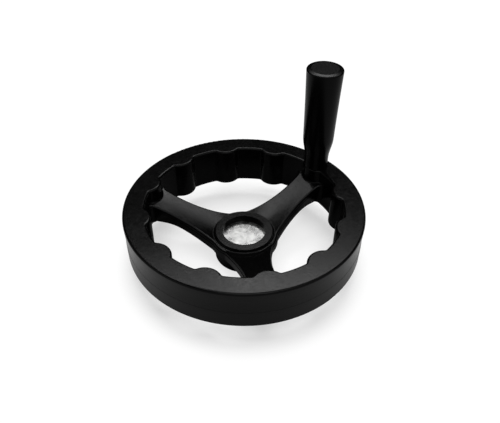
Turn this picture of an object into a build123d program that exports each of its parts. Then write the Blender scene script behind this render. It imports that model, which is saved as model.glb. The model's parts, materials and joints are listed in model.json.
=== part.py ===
"""Machine handwheel: a three-spoked moulded wheel with a steel hub bush and a revolving side handle.

Frame: origin at the centre of the hub's lower face, +Z up the bore towards the operator, +X along
the spoke that carries the handle. Sizes are in millimetres, angles in degrees.
"""
import os
from math import atan2, degrees, hypot, radians, sqrt, tan

from build123d import *

# ---- Rim: a solid ring with finger lobes round its inner wall ------------------------------------
rim_radius = 80.0               # outer wall at the top face
rim_width = 14.2                # outer wall to the inner wall between two lobes
rim_height = 28.9
rim_base = 15.9                 # how far the hub stands below the rim
rim_edge_radius = 1.5
parting_drop = 16.3             # parting ledge below the top face
parting_ledge = 0.4
upper_wall_draft = 2.8          # the wall leans in from the top face down to the ledge
lower_wall_draft = 1.3

lobe_count = 12
lobe_radius = 11.1
lobe_height = 4.3               # how far a lobe stands out of the inner wall
lobe_corner_radius = 2.0

# ---- Hub: a boss below the web and a collar above it ---------------------------------------------
hub_radius = 20.2
hub_height = 21.5
hub_edge_radius = 0.8
collar_rise = 2.7               # collar above the web
collar_foot_radius = 1.1
collar_wall = 5.3
recess_depth = 4.9              # bush face below the collar's edge
hub_foot_radius = 2.5           # corner between the boss and the underside of the web

# ---- Web: waisted spokes that rise from the hub to the rim on one shallow cone -------------------
spoke_count = 3
web_drop = 10.2                 # top of a spoke below the top of the rim, where the two meet
web_depth = 7.7                 # top surface to underside
web_edge_radius = 1.4
web_ring_width = 3.1            # web past the hub's wall, between two spokes
web_ring_corner = 5.0           # corner between that ring and a spoke's flank
spoke_root = 32.8               # width of a spoke where its hollow flanks meet that ring
spoke_waist = 19.2              # narrowest width
spoke_waist_inset = 14.8        # from the rim's inner wall to the waist
spoke_rim_corner = 3.6          # corner between a flank and the rim
window_ledge_drop = 3.0         # parting ledge round the windows, below the top surface
window_ledge = 0.3
underside_level = 5.1           # underside above the rim's lower face, where it runs level into the rim
underside_bend_radius = 40.0    # bend between the sloping and the level underside
heel_radius = 1.6               # hollow corner between the top of a spoke and the rim's wall
joint_overlap = 0.3             # how far one form of the moulding runs into the next
heel_overlap = 0.05

# ---- Hub bush: turned steel with a hexagonal waist, locked in the moulding -----------------------
bush_flange_length = 4.6
bush_waist_inset = 2.9          # round wall to the flats of the waist
bush_waist_corner = 1.0
shaft_bore_radius = 7.0
shaft_bore_depth = 13.0
moulded_gap = 0.02              # between an insert and the moulding

# ---- Handle insert: brass sleeve moulded into the rim --------------------------------------------
handle_inset = 10.9             # handle's axis from the rim's outer wall
insert_length = 16.0
insert_shoulder = 0.5           # insert wider than the spindle's journal, all round
insert_groove_depth = 0.8
insert_groove_length = 4.0
tapped_run_out = 1.5            # hole deeper than the stud

# ---- Handle spindle and its washer ---------------------------------------------------------------
stud_radius = 4.0               # threaded end
stud_length = 12.0
stud_chamfer = 0.6
stud_relief_depth = 0.7         # undercut that lets the shoulder seat
stud_relief_length = 1.5
thread_clearance = 0.03
journal_radius = 5.0
journal_clearance = 0.08
spindle_head_radius = 7.6
spindle_head_length = 6.0
spindle_head_chamfer = 0.5
socket_flats = 6.0
socket_depth = 3.5
washer_thickness = 1.0
washer_clearance = 0.2

# ---- Revolving grip ------------------------------------------------------------------------------
handle_height = 75.0            # end of the grip above the rim
end_float = 0.2                 # gap below the grip, and again between its seat and the washer
head_clearance = 0.5            # round the spindle's head
grip_foot_radius = 8.5
grip_foot_length = 7.2
grip_swell_radius = 10.7        # where the curve of the foot meets the long taper
grip_swell_height = 23.5
grip_middle_radius = 11.25
grip_middle_height = 46.0
grip_end_radius = 12.25
grip_shoulder_width = 2.75      # sloping end round the cap
grip_shoulder_drop = 0.6
grip_end_round = 0.9
grip_foot_round = 0.5

# ---- Cap: push-in disc that closes the grip ------------------------------------------------------
cap_groove = 0.16               # fine groove round the disc
cap_thickness = 2.0
cap_edge_radius = 0.25
cap_skirt_length = 4.0
cap_skirt_wall = 1.4
cap_skirt_clearance = 0.05
cap_head_gap = 1.3              # skirt above the spindle's head

# ---- Places that follow from the sizes above -----------------------------------------------------
rim_top = rim_base + rim_height
rim_inner_radius = rim_radius - rim_width
lobe_circle_radius = rim_inner_radius - lobe_height + lobe_radius
web_ring_radius = hub_radius + web_ring_width
spoke_root_reach = sqrt(web_ring_radius ** 2 - (spoke_root / 2) ** 2)
spoke_waist_reach = rim_inner_radius - spoke_waist_inset
web_height_at_hub = hub_height - collar_rise
web_rise = degrees(atan2(rim_top - web_drop - web_height_at_hub, rim_inner_radius - hub_radius))
bush_radius = hub_radius - collar_wall
bush_length = hub_height - recess_depth
handle_circle_radius = rim_radius - handle_inset
insert_radius = journal_radius + insert_shoulder
handle_top = rim_top + handle_height
cap_seat = handle_top - cap_thickness
cap_pocket_radius = grip_end_radius - grip_shoulder_width
head_pocket_radius = spindle_head_radius + head_clearance
head_top = cap_seat - cap_skirt_length - cap_head_gap
head_seat = head_top - spindle_head_length
washer_seat = head_seat - washer_thickness - end_float


def web_top(radius):
    """Height of the web's top surface at a distance from the wheel's axis."""
    return web_height_at_hub + tan(radians(web_rise)) * (radius - hub_radius)


def off_axis(shape):
    """Distance of a shape's centre from the wheel's axis."""
    return hypot(shape.center().X, shape.center().Y)


def turned(*outline):
    """Solid turned about the wheel's axis from a closed outline in (radius, height)."""
    return revolve(Plane.XZ * make_face(outline), Axis.Z)


def lathe(*corners):
    """Solid turned about the wheel's axis from straight runs between (radius, height) corners."""
    return turned(Polyline(*corners, close=True))


def rings(solid, radius, height):
    """The circular edge of a turned shape at a radius and height."""
    circles = solid.edges().filter_by(GeomType.CIRCLE)
    return circles.filter_by(lambda edge: abs(edge.radius - radius) < 0.01
                             and abs(edge.arc_center.Z - height) < 0.01)


def at_handle(shape):
    """A shape turned about the wheel's axis, moved to the handle's axis."""
    return Pos(handle_circle_radius, 0) * shape


# ---- Wheel body ----------------------------------------------------------------------------------
def rim_space():
    """The space inside the rim: a round well with rounded lobes standing into it."""
    lobes = PolarLocations(lobe_circle_radius, lobe_count) * Circle(lobe_radius)
    plan = Circle(rim_inner_radius) - lobes
    plan = fillet(plan.vertices(), lobe_corner_radius)
    return Pos(0, 0, rim_base) * extrude(plan, rim_height)


def make_rim():
    ledge = rim_top - parting_drop
    upper_foot = rim_radius - parting_drop * tan(radians(upper_wall_draft))
    lower_head = upper_foot + parting_ledge
    lower_foot = lower_head - (ledge - rim_base) * tan(radians(lower_wall_draft))
    disc = lathe((0, rim_base), (lower_foot, rim_base), (lower_head, ledge), (upper_foot, ledge),
                 (rim_radius, rim_top), (0, rim_top))
    disc = fillet(rings(disc, rim_radius, rim_top) + rings(disc, lower_foot, rim_base), rim_edge_radius)
    ring = disc - rim_space()
    flats = ring.faces().sort_by(Axis.Z)
    mouths = flats[0].inner_wires()[0].edges() + flats[-1].inner_wires()[0].edges()
    return fillet(mouths, rim_edge_radius)


def web_plan(ledge):
    """Plan of the web, wider by a ledge; its outer margin lies inside the rim."""
    run = spoke_waist_reach - spoke_root_reach
    flare = (spoke_root - spoke_waist) / 2
    flank_radius = (run ** 2 + flare ** 2) / (2 * flare)
    root = spoke_root_reach - joint_overlap
    spoke = Pos((root + rim_radius) / 2, 0) * Rectangle(rim_radius - root, 2 * web_ring_radius)
    for side in (-1, 1):
        flank_centre = (spoke_waist_reach, side * (spoke_waist / 2 + flank_radius))
        spoke -= Pos(*flank_centre) * Circle(flank_radius - ledge)
    windows = Circle(rim_inner_radius + 2 * joint_overlap - ledge) - Circle(web_ring_radius + ledge)
    for turn in range(spoke_count):
        windows -= Rot(0, 0, turn * 360 / spoke_count) * spoke
    ring_corners = windows.vertices().sort_by(off_axis)[:2 * spoke_count]
    windows = fillet(ring_corners, web_ring_corner - ledge)
    rim_corners = windows.vertices().sort_by(off_axis)[-2 * spoke_count:]
    windows = fillet(rim_corners, spoke_rim_corner - ledge)
    return Circle(lobe_circle_radius) - windows


def on_web_top(edge, rise=0):
    """True for an edge whose middle lies on the web's top surface, raised by a length."""
    middle = edge @ 0.5
    return abs(middle.Z - web_top(hypot(middle.X, middle.Y)) - rise) < 0.01


def on_window_edge(edge):
    """True for a curved edge on the web's top surface, short of its outer margin."""
    middle = edge @ 0.5
    short = hypot(middle.X, middle.Y) < lobe_circle_radius - joint_overlap
    return short and on_web_top(edge) and edge.geom_type != GeomType.LINE


def make_web():
    """Two layers with a ledge between them, cut to the spokes' plan; the underside runs level at the rim."""
    margin = lobe_circle_radius
    split_at_axis = web_top(0) - window_ledge_drop
    split_at_margin = web_top(margin) - window_ledge_drop
    upper_slab = lathe((0, split_at_axis - joint_overlap), (margin, split_at_margin - joint_overlap),
                       (margin, web_top(margin)), (0, web_top(0)))
    upper = extrude(web_plan(0), rim_top) & upper_slab
    upper = fillet(upper.edges().filter_by(on_window_edge), web_edge_radius)

    level = rim_base + underside_level
    bend_reach = hub_radius + (level + web_depth - web_height_at_hub) / tan(radians(web_rise))
    bend_run = underside_bend_radius * tan(radians(web_rise / 2))
    bend_centre = (bend_reach + bend_run, level - underside_bend_radius)
    bend = CenterArc(bend_centre, underside_bend_radius, 90 + web_rise, -web_rise)
    sides = Polyline(bend @ 1, (margin, level), (margin, split_at_margin), (0, split_at_axis),
                     (0, web_top(0) - web_depth), bend @ 0)
    lower = extrude(web_plan(window_ledge), rim_top) & turned(bend, sides)
    return upper + lower


def make_heels():
    """Hollow corners between the tops of the spokes and the rim's wall, short of the rounded edges."""
    margin = lobe_circle_radius
    sink = heel_overlap
    above = lathe((0, web_top(0) - sink), (margin, web_top(margin) - sink), (margin, rim_top), (0, rim_top))
    well = rim_space() & above
    feet = well.edges().filter_by(lambda edge: on_web_top(edge, -sink))
    well = fillet(feet, heel_radius + sink)
    inner = rim_inner_radius - lobe_height - lobe_corner_radius - heel_radius
    rise = heel_radius + 2 * joint_overlap
    band = lathe((inner, web_top(inner) - joint_overlap), (margin, web_top(margin) - joint_overlap),
                 (margin, web_top(margin) + rise), (inner, web_top(inner) + rise))
    plan = offset(web_plan(0), -web_edge_radius)
    return (extrude(plan, rim_top) & band) - well


def bush_form(gap):
    """Outer form of the hub bush, grown by a gap: two round ends and a hexagonal waist."""
    low = bush_flange_length + gap
    high = bush_length - bush_flange_length - gap
    waist = RegularPolygon(bush_radius - bush_waist_inset + gap, 6, major_radius=False)
    waist = fillet(waist.vertices(), bush_waist_corner)
    band = Circle(hub_radius) - waist
    return (extrude(Circle(bush_radius + gap), bush_length)
            - Pos(0, 0, low) * extrude(band, high - low))


def insert_form(gap):
    """Outer form of the handle insert, grown by a gap: a sleeve with a locking groove."""
    foot = rim_top - insert_length
    groove_low = foot + (insert_length - insert_groove_length) / 2 + gap
    groove_high = groove_low + insert_groove_length - 2 * gap
    wall = insert_radius + gap
    throat = wall - insert_groove_depth
    return at_handle(lathe((0, foot - gap), (wall, foot - gap), (wall, groove_low), (throat, groove_low),
                           (throat, groove_high), (wall, groove_high), (wall, rim_top), (0, rim_top)))


def make_wheel_body():
    hub = lathe((0, 0), (hub_radius, 0), (hub_radius, hub_height), (0, hub_height))
    hub = fillet(rings(hub, hub_radius, 0) + rings(hub, hub_radius, hub_height), hub_edge_radius)
    spider = make_web() + hub
    spider = fillet(rings(spider, hub_radius, web_height_at_hub), collar_foot_radius)
    spider = fillet(rings(spider, hub_radius, web_height_at_hub - web_depth), hub_foot_radius)
    recess = Pos(0, 0, bush_length) * extrude(Circle(bush_radius), recess_depth)
    body = make_rim() + spider + make_heels() - recess
    return body - bush_form(moulded_gap) - insert_form(moulded_gap)


# ---- Inserts -------------------------------------------------------------------------------------
def make_hub_bush():
    return bush_form(0) - extrude(Circle(shaft_bore_radius), shaft_bore_depth)


def make_handle_insert():
    hole_foot = rim_top - stud_length - tapped_run_out
    wall = stud_radius + thread_clearance
    return insert_form(0) - at_handle(lathe((0, hole_foot), (wall, hole_foot), (wall, rim_top), (0, rim_top)))


# ---- Handle --------------------------------------------------------------------------------------
def make_handle_spindle():
    tip = rim_top - stud_length
    relief = rim_top - stud_relief_length
    relief_radius = stud_radius - stud_relief_depth
    bevel = head_top - spindle_head_chamfer
    pin = lathe((0, tip), (stud_radius - stud_chamfer, tip), (stud_radius, tip + stud_chamfer),
                (stud_radius, relief), (relief_radius, relief), (relief_radius, rim_top),
                (journal_radius, rim_top), (journal_radius, head_seat),
                (spindle_head_radius, head_seat), (spindle_head_radius, bevel),
                (spindle_head_radius - spindle_head_chamfer, head_top), (0, head_top))
    socket = extrude(RegularPolygon(socket_flats / 2, 6, major_radius=False), -socket_depth)
    return at_handle(pin - Pos(0, 0, head_top) * socket)


def make_head_washer():
    bore = journal_radius + washer_clearance
    foot = head_seat - washer_thickness
    return at_handle(lathe((bore, foot), (spindle_head_radius, foot),
                           (spindle_head_radius, head_seat), (bore, head_seat)))


def make_handle_grip():
    foot = rim_top + end_float
    bore = journal_radius + journal_clearance
    neck = (grip_foot_radius, rim_top + grip_foot_length)
    swell = (grip_swell_radius, rim_top + grip_swell_height)
    middle = (grip_middle_radius, rim_top + grip_middle_height)
    end = (grip_end_radius, handle_top - grip_shoulder_drop)
    taper = ThreePointArc(swell, middle, end)
    curve = Spline(neck, swell, tangents=((0, 1), taper % 0))
    outside = Polyline((bore, foot), (grip_foot_radius, foot), neck)
    inside = Polyline(end, (cap_pocket_radius, handle_top), (cap_pocket_radius, cap_seat),
                      (head_pocket_radius, cap_seat), (head_pocket_radius, washer_seat),
                      (bore, washer_seat), (bore, foot))
    grip = turned(outside, curve, taper, inside)
    grip = fillet(rings(grip, *end), grip_end_round)
    grip = fillet(rings(grip, grip_foot_radius, foot), grip_foot_round)
    return at_handle(grip)


def make_handle_cap():
    disc = cap_pocket_radius - cap_groove
    skirt = head_pocket_radius - cap_skirt_clearance
    hollow = skirt - cap_skirt_wall
    foot = cap_seat - cap_skirt_length
    cap = lathe((0, handle_top), (disc, handle_top), (disc, cap_seat), (skirt, cap_seat),
                (skirt, foot), (hollow, foot), (hollow, cap_seat), (0, cap_seat))
    return at_handle(fillet(rings(cap, disc, handle_top), cap_edge_radius))


# ---- One file per piece --------------------------------------------------------------------------
pieces = {
    "wheel_body": make_wheel_body(),
    "hub_bush": make_hub_bush(),
    "handle_insert": make_handle_insert(),
    "handle_spindle": make_handle_spindle(),
    "head_washer": make_head_washer(),
    "handle_grip": make_handle_grip(),
    "handle_cap": make_handle_cap(),
}
os.makedirs("parts", exist_ok=True)
for name, solid in pieces.items():
    export_step(solid, f"parts/{name}.step")
    print(f"{name}: {solid.volume:.0f} mm3")
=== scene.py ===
# %% [markdown]
# # A machine handwheel
# A machine handwheel is the large black wheel that an operator turns to move a slide or a table.
# This one is a single black moulding with a deep rim and three spokes. A steel bush in its hub
# takes the machine's shaft, and a handle on the rim revolves on a steel spindle.
#
# The solids come from the CAD frame at their real size, in metres, with +Z up the bore and +X
# towards the handle. They keep their shape and place. Each cell below adds one finish, one fine
# form, a light or the camera, and says why it was made that way.

# %% Load the fixed frame
import json
import math

import bmesh
import bpy
from mathutils import Matrix, Vector


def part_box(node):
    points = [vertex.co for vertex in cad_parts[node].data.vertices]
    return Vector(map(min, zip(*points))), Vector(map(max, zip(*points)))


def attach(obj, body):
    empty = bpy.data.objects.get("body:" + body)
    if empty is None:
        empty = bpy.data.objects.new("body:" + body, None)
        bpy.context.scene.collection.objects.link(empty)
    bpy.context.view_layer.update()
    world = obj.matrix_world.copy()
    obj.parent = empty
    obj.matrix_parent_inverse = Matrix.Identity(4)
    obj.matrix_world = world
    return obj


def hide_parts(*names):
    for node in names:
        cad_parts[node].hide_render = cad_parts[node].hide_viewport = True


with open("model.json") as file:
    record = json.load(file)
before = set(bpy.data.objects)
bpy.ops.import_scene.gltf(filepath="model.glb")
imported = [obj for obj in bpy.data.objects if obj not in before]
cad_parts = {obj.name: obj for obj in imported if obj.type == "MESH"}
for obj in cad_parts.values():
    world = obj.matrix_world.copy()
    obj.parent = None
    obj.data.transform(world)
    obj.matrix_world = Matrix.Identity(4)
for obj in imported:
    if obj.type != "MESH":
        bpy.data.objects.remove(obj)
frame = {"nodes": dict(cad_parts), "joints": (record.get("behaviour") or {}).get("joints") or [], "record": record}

MM = 0.001
scene = bpy.context.scene
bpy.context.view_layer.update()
print("nodes:", sorted(frame["nodes"]))


# %% [markdown]
# ## The camera
# A camera is an object with a lens. Its place could be typed as three numbers, but a target, a
# distance and two angles say more: the camera circles the wheel and always looks at it. The
# rotation follows from the line of sight, and a small roll turns the frame about that line.

# %% Camera
target = Vector((-2.5, -8.5, 44.8)) * MM
target_distance = 367.1 * MM
camera_azimuth = math.radians(-132.43)
camera_elevation = math.radians(40.05)
camera_roll = math.radians(0.8)
sensor_width_mm = 36.0
focal_length_mm = 40.53


def direction(azimuth, elevation):
    """Unit vector towards an azimuth (from +X) and an elevation (from the horizon), in radians."""
    level = math.cos(elevation)
    return Vector((level * math.cos(azimuth), level * math.sin(azimuth), math.sin(elevation)))


def aim(thing, from_point, at_point, roll=0.0):
    """Puts a camera or a lamp at one point and turns it to look at another."""
    sight = at_point - from_point
    turn = sight.to_track_quat("-Z", "Y").to_matrix() @ Matrix.Rotation(roll, 3, "Z")
    thing.location = from_point
    thing.rotation_euler = turn.to_euler()


camera = bpy.data.objects.new("camera", bpy.data.cameras.new("camera"))
camera.data.sensor_width = sensor_width_mm
camera.data.lens = focal_length_mm
scene.collection.objects.link(camera)
camera_place = target + target_distance * direction(camera_azimuth, camera_elevation)
aim(camera, camera_place, target, camera_roll)
scene.camera = camera
scene.view_settings.view_transform = "Standard"
print("camera at", [round(value, 3) for value in camera.location])

# %% [markdown]
# ## Building node trees in code
# Every finish below is a small graph of nodes. Written out call by call, such a graph takes pages,
# so one helper adds a node, sets its options and either fills or links its inputs. A socket that
# is given as a value becomes a link, so the code reads in the order in which the signal flows.

# %% Node helpers
def add(tree, kind, values=None, **settings):
    """Adds a node. Settings go on the node, values on its inputs, and a socket as value is linked."""
    node = tree.nodes.new(kind)
    for setting, value in settings.items():
        setattr(node, setting, value)
    for socket, value in (values or {}).items():
        if isinstance(value, bpy.types.NodeSocket):
            tree.links.new(value, node.inputs[socket])
        else:
            node.inputs[socket].default_value = value
    return node


def calculate(tree, operation, *values):
    """The result of one Math node."""
    return add(tree, "ShaderNodeMath", dict(enumerate(values)), operation=operation).outputs[0]


def spread(tree, value, low, high):
    """A value from 0 to 1 stretched to run from low to high."""
    return add(tree, "ShaderNodeMapRange", {"Value": value, "To Min": low, "To Max": high}).outputs[0]


def stretch(tree, value, middle, low=0.0, high=1.0):
    """The middle of a noise, given by its two ends, stretched to run from low to high."""
    return add(tree, "ShaderNodeMapRange", {
        "Value": value, "From Min": middle[0], "From Max": middle[1],
        "To Min": low, "To Max": high}).outputs[0]


def fresh_material(name):
    """An empty material, its node tree and the shader that its nodes feed."""
    material = bpy.data.materials.new(name)
    material.use_nodes = True
    tree = material.node_tree
    return material, tree, tree.nodes["Principled BSDF"]


def place_on_object(tree, centre=(0, 0, 0)):
    """Object coordinates in metres, measured from a point of the frame."""
    here = add(tree, "ShaderNodeTexCoord").outputs["Object"]
    back = [-value for value in centre]
    return add(tree, "ShaderNodeMapping", {"Vector": here, "Location": back}).outputs[0]


def noise(tree, place, patch, detail=2.0, roughness=0.5, distortion=0.0):
    """Noise from 0 to 1 whose patches are about one length across."""
    return add(tree, "ShaderNodeTexNoise", {
        "Vector": place, "Scale": 1 / patch, "Detail": detail, "Roughness": roughness,
        "Distortion": distortion}).outputs[0]


def relief(tree, height, depth, below=None):
    """A bump whose height from 0 to 1 stands for a real depth."""
    values = {"Height": height, "Distance": depth, "Strength": 1.0}
    if below:
        values["Normal"] = below
    return add(tree, "ShaderNodeBump", values).outputs[0]


def shade(tree, low, high, factor):
    """A colour between two others, at a factor from 0 to 1."""
    mix = add(tree, "ShaderNodeMix", {"Factor": factor}, data_type="RGBA")
    # a Mix node has sockets for every kind of value, and its colours are inputs 6 and 7, output 2
    mix.inputs[6].default_value = (*low, 1.0)
    mix.inputs[7].default_value = (*high, 1.0)
    return mix.outputs[2]


noise_middle = (0.3, 0.7)       # most of a noise lies between these
finishes = {}
print("helpers ready")

# %% [markdown]
# ## The wheel's moulding
# The wheel is pressed from black phenolic compound. It is nearly black all through, and what the
# eye reads is its skin: a semi-gloss with a fine orange peel from the polished mould, a trace of
# grain from the filler, small cloudy patches, and flow marks that are only seen where light grazes.
# A noise for each of these sizes feeds the bump or the roughness, and the grain also speckles the
# black with a very dark grey. The specular level is low, because a filled moulding mirrors much
# less than clean plastic does.

# %% Wheel moulding
peel_patch = 1.4 * MM
peel_depth = 0.04 * MM
grain_patch = 0.9 * MM
grain_depth = 0.02 * MM
cloud_patch = 3.2 * MM
flow_patch = 22 * MM
cloud_share = 0.6               # the flow marks have the rest of the sheen
sheen_middle = (0.35, 0.65)     # two noises added stay closer to the middle than one
wheel_gloss = 0.085
wheel_roughness = (0.13, 0.25)
wheel_black = (0.0002,) * 3
wheel_speck = (0.0026,) * 3


def make_wheel_moulding():
    material, tree, skin = fresh_material("wheel_moulding")
    place = place_on_object(tree)
    peel = noise(tree, place, peel_patch, detail=3.0, roughness=0.6)
    grain = noise(tree, place, grain_patch, detail=2.0, roughness=0.6)
    cloud = noise(tree, place, cloud_patch, detail=4.0, roughness=0.65)
    flow = noise(tree, place, flow_patch, detail=3.0, distortion=0.8)
    fine = relief(tree, grain, grain_depth)
    skin.inputs["Specular IOR Level"].default_value = wheel_gloss
    tree.links.new(relief(tree, peel, peel_depth, fine), skin.inputs["Normal"])
    marks = calculate(tree, "MULTIPLY", flow, 1 - cloud_share)
    sheen = calculate(tree, "MULTIPLY_ADD", cloud, cloud_share, marks)
    tree.links.new(stretch(tree, sheen, sheen_middle, *wheel_roughness), skin.inputs["Roughness"])
    specks = stretch(tree, grain, noise_middle)
    tree.links.new(shade(tree, wheel_black, wheel_speck, specks), skin.inputs["Base Color"])
    return material


finishes["wheel_moulding"] = make_wheel_moulding()
print("made", finishes["wheel_moulding"].name)

# %% [markdown]
# ## The grip's moulding
# The grip is moulded from the same compound, then tumbled, so its peel is broader and much
# shallower than the wheel's. Tumbling and hands leave fine scuffs: a noise with many layers of
# detail spreads the roughness for them. The colour stays black, and hardly changes.

# %% Grip moulding
tumbled_patch = 2.5 * MM
tumbled_depth = 0.012 * MM
scuff_patch = 6 * MM
grip_gloss = 0.08
grip_roughness = (0.20, 0.30)
grip_black = (0.0004,) * 3
grip_dull_black = (0.0008,) * 3


def make_grip_moulding():
    material, tree, skin = fresh_material("grip_moulding")
    place = place_on_object(tree)
    peel = noise(tree, place, tumbled_patch, detail=2.0)
    scuffs = noise(tree, place, scuff_patch, detail=6.0, roughness=0.7)
    skin.inputs["Specular IOR Level"].default_value = grip_gloss
    tree.links.new(relief(tree, peel, tumbled_depth), skin.inputs["Normal"])
    tree.links.new(spread(tree, scuffs, *grip_roughness), skin.inputs["Roughness"])
    tree.links.new(shade(tree, grip_black, grip_dull_black, peel), skin.inputs["Base Color"])
    return material


finishes["grip_moulding"] = make_grip_moulding()
print("made", finishes["grip_moulding"].name)

# %% [markdown]
# ## The cap's moulding
# The cap is a plain disc with a spark-eroded grain, which scatters light and looks dark grey
# beside the glossy grip. A fine noise gives the grain its depth, and it also speckles the grey.

# %% Cap moulding
eroded_patch = 1.3 * MM
eroded_depth = 0.22 * MM
cap_gloss = 0.04
cap_roughness = 0.42
cap_black = (0.0005,) * 3
cap_grey = (0.007,) * 3


def make_cap_moulding():
    material, tree, skin = fresh_material("cap_moulding")
    place = place_on_object(tree)
    grain = noise(tree, place, eroded_patch, detail=4.0, roughness=0.75)
    skin.inputs["Specular IOR Level"].default_value = cap_gloss
    skin.inputs["Roughness"].default_value = cap_roughness
    tree.links.new(relief(tree, grain, eroded_depth), skin.inputs["Normal"])
    tree.links.new(shade(tree, cap_black, cap_grey, grain), skin.inputs["Base Color"])
    return material


finishes["cap_moulding"] = make_cap_moulding()
print("made", finishes["cap_moulding"].name)

# %% [markdown]
# ## Turned steel
# The bush is faced on a lathe. The tool leaves faint rings round the axis, and handling leaves a
# soft mottle of brighter and duller patches. The distance from the axis drives the rings, so they
# stay round on the real face and need no image: each is one wave of a sine, with its lower half cut
# off flat. A slow noise of the same distance makes the face wander in height from ring to ring, as
# a tool's depth does.

# %% Turned steel
ring_pitch = 0.9 * MM
ring_depth = 0.002 * MM
wander_patch = 1.9 * MM
wander_depth = 0.02 * MM
mottle_patch = 5 * MM
mottle_depth = 0.03 * MM
steel_roughness = (0.24, 0.34)
steel_dull = (0.14, 0.14, 0.14)
steel_bright = (0.36, 0.36, 0.355)


def make_turned_steel():
    material, tree, skin = fresh_material("turned_steel")
    place = place_on_object(tree)
    across = add(tree, "ShaderNodeSeparateXYZ", {"Vector": place}).outputs
    flat = add(tree, "ShaderNodeCombineXYZ", {"X": across["X"], "Y": across["Y"]}).outputs[0]
    radius = add(tree, "ShaderNodeVectorMath", {0: flat}, operation="LENGTH").outputs["Value"]
    turns = calculate(tree, "MULTIPLY", radius, math.tau / ring_pitch)
    feed = spread(tree, calculate(tree, "SINE", turns), 0.0, 1.0)
    waves = calculate(tree, "DIVIDE", radius, wander_patch)
    wander = add(tree, "ShaderNodeTexNoise", {"W": waves, "Scale": 1.0, "Detail": 3.0},
                 noise_dimensions="1D").outputs[0]
    mottle = noise(tree, place, mottle_patch, detail=2.0, roughness=0.5, distortion=0.4)
    skin.inputs["Metallic"].default_value = 1.0
    rings = relief(tree, feed, ring_depth)
    turned = relief(tree, wander, wander_depth, rings)
    tree.links.new(relief(tree, mottle, mottle_depth, turned), skin.inputs["Normal"])
    patches = stretch(tree, mottle, noise_middle)
    tree.links.new(spread(tree, patches, *steel_roughness), skin.inputs["Roughness"])
    tree.links.new(shade(tree, steel_dull, steel_bright, patches), skin.inputs["Base Color"])
    return material


finishes["turned_steel"] = make_turned_steel()
print("made", finishes["turned_steel"].name)

# %% [markdown]
# ## Plated steel and turned brass
# The spindle and its washer are zinc plated, with a soft sheen and a faint blue-grey cloudiness.
# The sleeve in the rim is free-cutting brass, yellow and clean from the lathe. Both are metals:
# their colour sits in the reflection, and noise breaks up the roughness.

# %% Plated steel and brass
haze_patch = 2 * MM
haze_depth = 0.01 * MM


def make_small_metal(name, dull, bright, smoothest, roughest):
    material, tree, skin = fresh_material(name)
    place = place_on_object(tree)
    cloud = noise(tree, place, haze_patch, detail=4.0, roughness=0.6)
    skin.inputs["Metallic"].default_value = 1.0
    tree.links.new(relief(tree, cloud, haze_depth), skin.inputs["Normal"])
    tree.links.new(spread(tree, cloud, smoothest, roughest), skin.inputs["Roughness"])
    tree.links.new(shade(tree, dull, bright, cloud), skin.inputs["Base Color"])
    return material


finishes["plated_steel"] = make_small_metal(
    "plated_steel", dull=(0.50, 0.52, 0.55), bright=(0.66, 0.68, 0.70), smoothest=0.28, roughest=0.42)
finishes["insert_brass"] = make_small_metal(
    "insert_brass", dull=(0.62, 0.44, 0.17), bright=(0.80, 0.62, 0.30), smoothest=0.22, roughest=0.36)
print("finishes:", sorted(finishes))

# %% [markdown]
# ## Giving each node its finish
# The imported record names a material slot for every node. Reading that list keeps the scene and the
# record in step, and no node can be forgotten.

# %% Finish the CAD nodes
for part in frame["record"]["subparts"]:
    node_mesh = frame["nodes"][part["node"]].data
    node_mesh.materials.clear()
    node_mesh.materials.append(finishes[part["material_slot"]])
    print(part["node"], "is", part["material_slot"])

# %% [markdown]
# ## Copies to work on
# The next cells make three pieces again with finer forms than the CAD draws: the wheel with a
# dressed parting line, the spindle with its thread, and the sleeve with its knurl and thread. A CAD
# node is never changed. Its mesh is copied, and the copy's loose triangles are merged, because an
# edge that is shared by two faces is what makes a mesh closed.

# %% Piece helpers
tolerance = 0.01 * MM
weld_distance = 0.001 * MM


def smooth(mesh, corner=math.radians(25)):
    """Smooth shading that keeps every corner sharper than an angle."""
    mesh.polygons.foreach_set("use_smooth", [True] * len(mesh.polygons))
    mesh.set_sharp_from_angle(angle=corner)


def closed_copy(node, name):
    """A CAD node's mesh as a new mesh, with its loose triangles merged."""
    source = frame["nodes"][node].data
    mesh = bpy.data.meshes.new(name)
    corners = [vertex.co for vertex in source.vertices]
    mesh.from_pydata(corners, [], [list(face.vertices) for face in source.polygons])
    form = bmesh.new()
    form.from_mesh(mesh)
    bmesh.ops.remove_doubles(form, verts=form.verts, dist=weld_distance)
    form.to_mesh(mesh)
    form.free()
    return mesh


def off_axis(point, axis):
    """Distance of a point from a vertical axis."""
    return math.hypot(point.x - axis.x, point.y - axis.y)


def show(name, slot, mesh):
    """An object at the origin with the finish of its slot, ready for its Geometry Nodes."""
    thing = bpy.data.objects.new(name, mesh)
    scene.collection.objects.link(thing)
    mesh.materials.append(finishes[slot])
    return thing


def settle(thing, body, slot, *nodes):
    """Makes a finished piece ride on a body and stand for its CAD nodes, which it hides. The slot is not used."""
    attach(thing, body)
    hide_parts(*nodes)
    print(thing.name, len(thing.data.polygons), "faces")

# %% [markdown]
# ## The wheel's parting line
# The two halves of a mould meet on the rim's outer wall, a little below mid height. The CAD draws
# that meeting as a plain ledge, sharp and 0.4 mm wide. On the real wheel the flash is dressed off,
# and what stays is a step that a finger just feels. So the wheel is copied and its ledge is drawn
# in: only the two rings of corners on the ledge move, and every other corner stays where the CAD
# has it.

# %% Wheel with a dressed parting line
ledge_height = 28.5 * MM
ledge_inside = 79.0 * MM        # the ledge's corners all stand farther out than this
ring_split = 79.4 * MM          # between the two rings of the CAD's ledge
upper_ring = 79.47 * MM
lower_ring = 79.53 * MM


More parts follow.
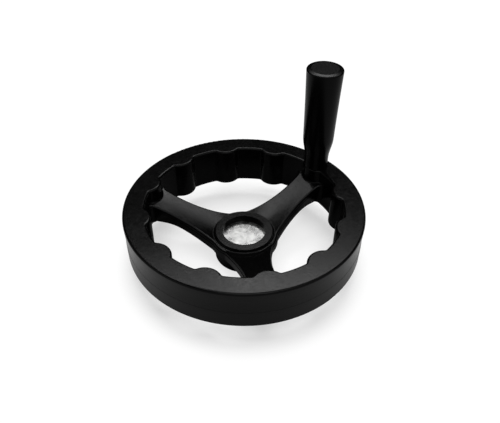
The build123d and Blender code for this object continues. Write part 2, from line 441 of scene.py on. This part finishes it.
def dress_parting_line(mesh):
    """Moves the ledge's inner ring out and its outer ring in, and counts the corners moved."""
    moved = 0
    for vertex in mesh.vertices:
        reach = math.hypot(vertex.co.x, vertex.co.y)
        if abs(vertex.co.z - ledge_height) < tolerance and reach > ledge_inside:
            wanted = lower_ring if reach > ring_split else upper_ring
            vertex.co.x *= wanted / reach
            vertex.co.y *= wanted / reach
            moved += 1
    return moved


def keep_corner_normals(mesh, node):
    """Gives a copy the CAD node's corner normals, which shade its flats flat and its fillets round."""
    facing = [normal.vector for normal in frame["nodes"][node].data.corner_normals]
    mesh.polygons.foreach_set("use_smooth", [True] * len(mesh.polygons))
    mesh.normals_split_custom_set(facing)


wheel_mesh = closed_copy("wheel_body", "wheel")
keep_corner_normals(wheel_mesh, "wheel_body")
print("corners moved on the ledge:", dress_parting_line(wheel_mesh))
wheel = show("dressed_wheel", "wheel_moulding", wheel_mesh)
settle(wheel, "wheel", "wheel_moulding", "wheel_body")

# %% [markdown]
# ## One Geometry Nodes tree for every thread
# A thread is one section swept up a helix, so a rule makes it better than a hand can. The tree
# draws the helix, keeps its frame upright so that the section never rolls, and lets the ridge fade
# out over the last turn at both ends, as a die does. Every size is a named input. The same tree
# makes the outer and the inner thread: only the sizes and the turn of the section change.

# %% Tree helpers
def geometry_tree(name, sizes):
    """A Geometry Nodes tree that takes a geometry and named sizes, and the sockets it is given."""
    tree = bpy.data.node_groups.new(name, "GeometryNodeTree")
    tree.interface.new_socket("Geometry", in_out="OUTPUT", socket_type="NodeSocketGeometry")
    tree.interface.new_socket("Geometry", in_out="INPUT", socket_type="NodeSocketGeometry")
    for label, kind in sizes.items():
        tree.interface.new_socket(label, in_out="INPUT", socket_type="NodeSocket" + kind)
    return tree, tree.nodes.new("NodeGroupInput").outputs


def finish_tree(tree, given, made):
    """Joins what a tree made to the geometry it was given, as plain mesh of one material."""
    both = add(tree, "GeometryNodeJoinGeometry", {0: given["Geometry"]})
    tree.links.new(made, both.inputs[0])
    plain = add(tree, "GeometryNodeRealizeInstances", {0: both.outputs[0]})
    coated = add(tree, "GeometryNodeSetMaterial", {"Geometry": plain.outputs[0],
                                                   "Material": given["Material"]})
    add(tree, "NodeGroupOutput", {"Geometry": coated.outputs[0]})
    return tree


def grow(thing, tree, sizes):
    """Runs a tree on an object, sets its inputs by identifier and keeps the result as plain mesh."""
    modifier = thing.modifiers.new(tree.name, "NODES")
    modifier.node_group = tree
    for socket in tree.interface.items_tree:
        if socket.in_out == "INPUT" and socket.name in sizes:
            modifier[socket.identifier] = sizes[socket.name]
    view = bpy.context.evaluated_depsgraph_get()
    grown = bpy.data.meshes.new_from_object(thing.evaluated_get(view))
    thing.modifiers.remove(modifier)
    thing.data = grown
    grown.name = thing.name
    print(tree.name, "leaves", thing.name, "with", len(grown.vertices), "vertices")


# %% Thread tree
steps_per_turn = 48
thinnest = 0.02                 # scale of the section where a ridge ends, never quite nothing


def make_thread_tree():
    """Winds a ridge of trapezoid section up a right-handed helix."""
    tree, given = geometry_tree("thread_ridge", {
        "Radius": "Float", "Length": "Float", "Pitch": "Float", "Foot Width": "Float",
        "Crest Width": "Float", "Depth": "Float", "Section Turn": "Float", "Start": "Vector",
        "Material": "Material"})
    turns = calculate(tree, "DIVIDE", given["Length"], given["Pitch"])
    helix = add(tree, "GeometryNodeCurveSpiral", {
        "Resolution": steps_per_turn, "Rotations": turns, "Start Radius": given["Radius"],
        "End Radius": given["Radius"], "Height": given["Length"]}).outputs[0]
    upright = add(tree, "GeometryNodeSetCurveNormal", {"Curve": helix}, mode="Z_UP").outputs[0]
    along = add(tree, "GeometryNodeSplineParameter").outputs["Factor"]
    to_end = calculate(tree, "MINIMUM", along, calculate(tree, "SUBTRACT", 1.0, along))
    fade = calculate(tree, "MINIMUM", calculate(tree, "MULTIPLY", to_end, turns), 1.0)
    swell = calculate(tree, "MAXIMUM", fade, thinnest)

    section = add(tree, "GeometryNodeCurvePrimitiveQuadrilateral", {
        "Bottom Width": given["Foot Width"], "Top Width": given["Crest Width"],
        "Height": given["Depth"], "Offset": 0.0}, mode="TRAPEZOID").outputs[0]
    half = calculate(tree, "DIVIDE", given["Depth"], 2.0)
    lift = add(tree, "ShaderNodeCombineXYZ", {"Y": half}).outputs[0]
    footed = add(tree, "GeometryNodeTransform", {"Geometry": section, "Translation": lift}).outputs[0]
    turn = add(tree, "ShaderNodeCombineXYZ", {"Z": given["Section Turn"]}).outputs[0]
    turned = add(tree, "GeometryNodeTransform", {"Geometry": footed, "Rotation": turn}).outputs[0]
    ridge = add(tree, "GeometryNodeCurveToMesh", {
        "Curve": upright, "Profile Curve": turned, "Scale": swell, "Fill Caps": True}).outputs[0]
    placed = add(tree, "GeometryNodeTransform", {"Geometry": ridge, "Translation": given["Start"]})
    return finish_tree(tree, given, placed.outputs[0])


thread_tree = make_thread_tree()
print(thread_tree.name, "has", len(thread_tree.nodes), "nodes")

# %% [markdown]
# ## The handle's spindle
# The spindle is a turned steel pin: a broad head with a hexagon socket, a smooth journal on which
# the grip revolves, and a threaded stud that screws into the rim. The copy keeps all of that, and
# its stud is cut down to the root of the thread. The ridge then stands on the root and reaches
# almost to the stud's outer size, so the piece still fills the room that the CAD gives it.

# %% Spindle
handle_axis = Vector(frame["joints"][0]["pos_m"])
stud_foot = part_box("handle_spindle")[0].z
rim_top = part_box("handle_insert")[1].z
thread_pitch = 1.25 * MM
thread_outer = 4.0 * MM
thread_root = 3.25 * MM
thread_play = 0.03 * MM         # left free on both sides of the thread's outer size
flank_slope = math.tan(math.radians(30))
ridge_sink = 0.05 * MM          # foot of a ridge inside the wall that carries it
relief_length = 1.5 * MM        # undercut between the thread and the shoulder
relief_radius = 3.3 * MM
thread_end = rim_top - relief_length


def cut_down_stud(mesh):
    """Shrinks the stud below its undercut from the outer to the root radius."""
    share = thread_root / thread_outer
    for vertex in mesh.vertices:
        reach = off_axis(vertex.co, handle_axis)
        on_end = abs(vertex.co.z - thread_end) < tolerance and reach > relief_radius + tolerance
        if on_end or vertex.co.z < thread_end - tolerance:
            vertex.co.x = handle_axis.x + share * (vertex.co.x - handle_axis.x)
            vertex.co.y *= share


spindle_mesh = closed_copy("handle_spindle", "spindle")
cut_down_stud(spindle_mesh)
spindle = show("threaded_spindle", "plated_steel", spindle_mesh)
outer_depth = thread_outer - thread_play - thread_root + ridge_sink
outer_crest = thread_pitch / 8
outer_foot = outer_crest + 2 * outer_depth * flank_slope
outer_start = stud_foot + outer_foot / 2
outer_length = thread_end - outer_foot / 2 - outer_start
grow(spindle, thread_tree, {
    "Radius": thread_root - ridge_sink, "Length": outer_length, "Pitch": thread_pitch,
    "Foot Width": outer_foot, "Crest Width": outer_crest, "Depth": outer_depth,
    "Section Turn": math.pi / 2, "Start": (handle_axis.x, 0, outer_start),
    "Material": finishes["plated_steel"]})
smooth(spindle.data)
settle(spindle, "wheel", "plated_steel", "handle_spindle")

# %% [markdown]
# ## A knurl that holds in the moulding
# A brass sleeve that is moulded into plastic carries two bands of straight knurl against turning,
# and a groove between them against pulling out. A knurl is one small ridge repeated round a
# circle, which is what instances are for: one three-sided bar, placed on every point of a ring and
# turned outwards, then realized as mesh.

# %% Knurl tree
def make_knurl_tree():
    """Stands straight ridges round a sleeve, each one a three-sided bar."""
    tree, given = geometry_tree("straight_knurl", {
        "Ridges": "Int", "Radius": "Float", "Ridge Radius": "Float", "Length": "Float",
        "Middle": "Vector", "Material": "Material"})
    ring = add(tree, "GeometryNodeMeshCircle", {"Vertices": given["Ridges"],
                                                "Radius": given["Radius"]}).outputs[0]
    bar = add(tree, "GeometryNodeMeshCylinder", {
        "Vertices": 3, "Radius": given["Ridge Radius"], "Depth": given["Length"]}).outputs[0]
    position = add(tree, "GeometryNodeInputPosition").outputs[0]
    outward = add(tree, "FunctionNodeAlignRotationToVector", {"Vector": position},
                  axis="X", pivot_axis="Z").outputs[0]
    bars = add(tree, "GeometryNodeInstanceOnPoints", {
        "Points": ring, "Instance": bar, "Rotation": outward}).outputs[0]
    placed = add(tree, "GeometryNodeTransform", {"Geometry": bars, "Translation": given["Middle"]})
    return finish_tree(tree, given, placed.outputs[0])


knurl_tree = make_knurl_tree()
print(knurl_tree.name, "has", len(knurl_tree.nodes), "nodes")

# %% [markdown]
# ## The brass sleeve
# The sleeve is a turned part, so it is made like one: a list of corners in radius and height, spun
# round its axis. Two shallow recesses take the knurl, whose ridges end level with the wall, and the
# thread's second use of the tree lines the hole. It starts half a pitch from the stud's thread, so
# the ridges of one lie in the grooves of the other.

# %% Turned mesh
def turned_mesh(name, outline, axis, steps=96):
    """A closed mesh turned about a vertical axis from (radius, height) corners, pole to pole."""
    form = bmesh.new()
    rings = []
    for radius, height in outline:
        count = steps if radius else 1
        angles = [math.tau * step / count for step in range(count)]
        rings.append([form.verts.new((axis.x + radius * math.cos(angle),
                                      axis.y + radius * math.sin(angle), height))
                      for angle in angles])
    for low, high in zip(rings[:-1], rings[1:]):
        for step in range(steps):
            turn = (step + 1) % steps
            corners = [low[step % len(low)], low[turn % len(low)],
                       high[turn % len(high)], high[step % len(high)]]
            form.faces.new(dict.fromkeys(corners))
    bmesh.ops.recalc_face_normals(form, faces=form.faces)
    mesh = bpy.data.meshes.new(name)
    form.to_mesh(mesh)
    form.free()
    return mesh


# %% Sleeve
sleeve_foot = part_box("handle_insert")[0].z
sleeve_length = rim_top - sleeve_foot
sleeve_radius = 5.5 * MM
groove_depth = 0.8 * MM
groove_length = 4.0 * MM
knurl_margin = 1.0 * MM
knurl_depth = 0.25 * MM
knurl_ridges = 72
hole_radius = thread_outer + thread_play
hole_spare = 1.5 * MM           # room in the hole beyond the stud's end
hole_foot = stud_foot - hole_spare
band_length = (sleeve_length - groove_length) / 2


def band_corners(foot):
    """The wall of one band with its recess for the knurl, from the bottom up."""
    low = foot + knurl_margin
    high = foot + band_length - knurl_margin
    floor_of_recess = sleeve_radius - knurl_depth
    return [(sleeve_radius, foot), (sleeve_radius, low), (floor_of_recess, low),
            (floor_of_recess, high), (sleeve_radius, high), (sleeve_radius, foot + band_length)]


def groove_corners():
    """The locking groove between the bands."""
    throat = sleeve_radius - groove_depth
    return [(throat, sleeve_foot + band_length), (throat, rim_top - band_length)]


sleeve_outline = [(0, sleeve_foot), *band_corners(sleeve_foot), *groove_corners(),
                  *band_corners(rim_top - band_length), (hole_radius, rim_top),
                  (hole_radius, hole_foot), (0, hole_foot)]
sleeve = show("knurled_sleeve", "insert_brass", turned_mesh("sleeve", sleeve_outline, handle_axis))
bar_foot = sleeve_radius - knurl_depth - ridge_sink
bar_height = sleeve_radius - tolerance - bar_foot
bar_radius = bar_height / 1.5   # a triangle is one and a half of its circle's radii high
for band_foot in (sleeve_foot, rim_top - band_length):
    grow(sleeve, knurl_tree, {
        "Ridges": knurl_ridges, "Radius": bar_foot + bar_radius / 2, "Ridge Radius": bar_radius,
        "Length": band_length - 2 * knurl_margin + ridge_sink,
        "Middle": (handle_axis.x, 0, band_foot + band_length / 2),
        "Material": finishes["insert_brass"]})

# %% Thread in the sleeve
inner_depth = 0.72 * MM
inner_crest = thread_pitch / 4
inner_foot = inner_crest + 2 * inner_depth * flank_slope
inner_start = outer_start - thread_pitch / 2
mouth_margin = 0.4 * MM
inner_length = rim_top - mouth_margin - inner_start
grow(sleeve, thread_tree, {
    "Radius": hole_radius + ridge_sink, "Length": inner_length, "Pitch": thread_pitch,
    "Foot Width": inner_foot, "Crest Width": inner_crest, "Depth": inner_depth,
    "Section Turn": -math.pi / 2, "Start": (handle_axis.x, 0, inner_start),
    "Material": finishes["insert_brass"]})
smooth(sleeve.data)
settle(sleeve, "wheel", "insert_brass", "handle_insert")

# %% [markdown]
# ## The floor
# The floor is a plain white sheet. Its own colour under the lamps gives one share of its white, and
# only that share can carry a shadow. A glow adds the rest for camera and transmission rays, so the
# open floor stays white. The lit share is largest under the rim, where the wheel nearly touches the
# sheet, smaller inside the ring and small outside it, so the shadow gathers close to the wheel.
#
# Glossy rays get a weaker glow, and none from under the wheel, which is painted shade: the metal
# shows a pale floor, while black gloss, which shows nothing but what it mirrors, sees a dark floor
# under the wheel and keeps its depth. Far out the sheet turns into even glow and meets the white of
# the room without a line.

# %% Floor
floor_reach = 4.0
sheet_white = 1.04
mirror_white = 0.70
inner_share = 0.30
lit_share = 0.50
outer_share = 0.07
inner_ring = (45 * MM, 72 * MM)         # where the lit share grows towards the rim
outer_ring = (74 * MM, 94 * MM)         # where it drops again outside the rim
# painted shade: across this ring the floor's glow for gloss grows from none under the wheel
gloss_shade_ring = (72 * MM, 100 * MM)       # where gloss begins to see the floor
far_ring = (120 * MM, 600 * MM)         # where the sheet turns into even glow


def by_ray(tree, straight, mirrored):
    """One value for camera and transmission rays, another for glossy rays and 0 for the rest."""
    rays = add(tree, "ShaderNodeLightPath").outputs
    plain = calculate(tree, "MAXIMUM", rays["Is Camera Ray"], rays["Is Transmission Ray"])
    gloss = calculate(tree, "MULTIPLY", rays["Is Glossy Ray"], mirrored)
    return calculate(tree, "MAXIMUM", calculate(tree, "MULTIPLY", plain, straight), gloss)


def make_floor_sheet():
    material, tree, sheet = fresh_material("floor_sheet")
    place = place_on_object(tree)
    reach = add(tree, "ShaderNodeVectorMath", {0: place}, operation="LENGTH").outputs["Value"]

    def blend(ring, inner, outer):
        """A value that changes from inner to outer across a ring of distances from the axis."""
        return add(tree, "ShaderNodeMapRange", {
            "Value": reach, "From Min": ring[0], "From Max": ring[1],
            "To Min": inner, "To Max": outer}, interpolation_type="SMOOTHSTEP").outputs[0]

    under = blend(inner_ring, inner_share, lit_share)
    around = blend(outer_ring, 1.0, outer_share / lit_share)
    near = blend(far_ring, 1.0, 0.0)
    lit = calculate(tree, "MULTIPLY", calculate(tree, "MULTIPLY", under, around), near)
    colour = add(tree, "ShaderNodeCombineColor", {"Red": lit, "Green": lit, "Blue": lit}).outputs[0]
    tree.links.new(colour, sheet.inputs["Base Color"])
    sheet.inputs["Roughness"].default_value = 1.0
    sheet.inputs["Specular IOR Level"].default_value = 0.0
    # painted shade: no glow for gloss under the wheel, so what the black gloss mirrors there stays dark
    clear = calculate(tree, "MULTIPLY", blend(gloss_shade_ring, 0.0, 1.0), near)
    pale = calculate(tree, "MULTIPLY", clear, calculate(tree, "SUBTRACT", mirror_white, lit))
    glow = by_ray(tree, calculate(tree, "SUBTRACT", sheet_white, lit), pale)
    sheet.inputs["Emission Color"].default_value = (1.0, 1.0, 1.0, 1.0)
    tree.links.new(glow, sheet.inputs["Emission Strength"])
    return material


floor_corners = [(-floor_reach, -floor_reach, 0), (floor_reach, -floor_reach, 0),
                 (floor_reach, floor_reach, 0), (-floor_reach, floor_reach, 0)]
floor_mesh = bpy.data.meshes.new("floor")
floor_mesh.from_pydata(floor_corners, [], [(0, 1, 2, 3)])
floor_mesh.materials.append(make_floor_sheet())
floor = bpy.data.objects.new("floor", floor_mesh)
scene.collection.objects.link(floor)
print("floor", 2 * floor_reach, "m wide")

# %% [markdown]
# ## The lamps
# Black plastic shows little of its own colour, so the lamps draw the object: what it mirrors is
# what is seen. A level face mirrors what hangs behind the wheel, as high above it as the camera. So
# the main soft boxes hang there, with their lower edge just above that line: the front of the rim
# then shines and its back stays black, which is the sheen that gives the ring its depth. Three boxes
# on the camera's side and on the right draw the thin light lines on the edges.
#
# A box is given by the angles that it fills as the wheel sees it, and by its radiance, which is
# the brightness of its face. Lamp power is radiance times area times pi.

# %% Lamps
lamp_distance = 1.2
behind = camera_azimuth + math.pi


def soft_box(name, turn, elevation, width, height, radiance):
    """A lamp that faces the wheel, turned from straight behind it, with its sizes in degrees."""
    lamp = bpy.data.lights.new(name, "AREA")
    lamp.shape = "RECTANGLE"
    lamp.size = 2 * lamp_distance * math.tan(math.radians(width / 2))
    lamp.size_y = 2 * lamp_distance * math.tan(math.radians(height / 2))
    lamp.energy = radiance * lamp.size * lamp.size_y * math.pi
    thing = bpy.data.objects.new(name, lamp)
    scene.collection.objects.link(thing)
    way = direction(behind + math.radians(turn), math.radians(elevation))
    aim(thing, target + lamp_distance * way, target)
    print(name, round(lamp.energy, 2), "W")


# name: turn, elevation, width and height in degrees, then the radiance
soft_boxes = {
    "rear_middle": (-11, 52.5, 19, 9, 11.8),
    "rear_left": (15, 50.5, 16, 7, 7.2),
    "rear_right": (-37, 53, 16, 12, 5.4),
    "rear_low": (-18, 45, 34, 6, 2.4),
    "high_left": (42, 62, 18, 13, 8.0),
    "front": (180, 58, 30, 14, 3.7),
    "front_right": (-140, 58, 22, 14, 2.9),
    "right": (-105, 52, 30, 14, 1.3)}
for lamp_name, placing in soft_boxes.items():
    soft_box(lamp_name, *placing)

# %% [markdown]
# ## The room
# A studio has a pale ceiling over dark walls. The world copies it: a glow that grows towards the
# zenith and a weaker one high on the wall behind the wheel, while the rest of the walls is nearly
# black. The camera sees white in its place, as it does in glass, and gloss sees a trace of it. Low
# on the camera's side that trace is stronger. No face turned to the camera mirrors that part, but
# the forms on the far side need it: without it they would be flat black when the view goes round.

# %% World
ceiling_glow = 2.3
wall_glow = 0.48
wall_trace = 0.02
front_trace = 0.9
ceiling_edge = (68, 84)         # elevations, in degrees, between which each glow grows
wall_edge = (36, 46)
front_edge = (20, 45)
turn_to_front = (0.5, -0.3)     # cosines of the turn from straight behind the wheel


def make_room():
    world = bpy.data.worlds.new("room")
    world.use_nodes = True
    tree = world.node_tree
    way = add(tree, "ShaderNodeTexCoord").outputs["Generated"]
    rise = add(tree, "ShaderNodeSeparateXYZ", {"Vector": way}).outputs["Z"]

    def band(edge, glow):
        """A glow that grows between two elevations, in degrees."""
        low, high = [math.sin(math.radians(elevation)) for elevation in edge]
        return add(tree, "ShaderNodeMapRange", {
            "Value": rise, "From Min": low, "From Max": high, "To Max": glow},
            interpolation_type="SMOOTHSTEP").outputs[0]

    flat = add(tree, "ShaderNodeVectorMath", {0: way, 1: (1, 1, 0)}, operation="MULTIPLY").outputs[0]
    level = add(tree, "ShaderNodeVectorMath", {0: flat}, operation="NORMALIZE").outputs[0]
    facing = add(tree, "ShaderNodeVectorMath", {0: level, 1: direction(behind, 0.0)},
                 operation="DOT_PRODUCT").outputs["Value"]
    rear = stretch(tree, facing, (-1.0, 1.0))
    wall = calculate(tree, "MULTIPLY", band(wall_edge, wall_glow), rear)
    room = calculate(tree, "ADD", band(ceiling_edge, ceiling_glow), wall)
    ahead = add(tree, "ShaderNodeMapRange", {
        "Value": facing, "From Min": turn_to_front[0], "From Max": turn_to_front[1]},
        interpolation_type="SMOOTHSTEP").outputs[0]
    low_wall = calculate(tree, "SUBTRACT", front_trace, band(front_edge, front_trace))
    traces = calculate(tree, "MULTIPLY_ADD", ahead, low_wall, wall_trace)
    strength = calculate(tree, "MAXIMUM", room, by_ray(tree, 1.0, traces))
    sky = tree.nodes["Background"]
    sky.inputs["Color"].default_value = (1.0, 1.0, 1.0, 1.0)
    tree.links.new(strength, sky.inputs["Strength"])
    return world


scene.world = make_room()
print("room set")
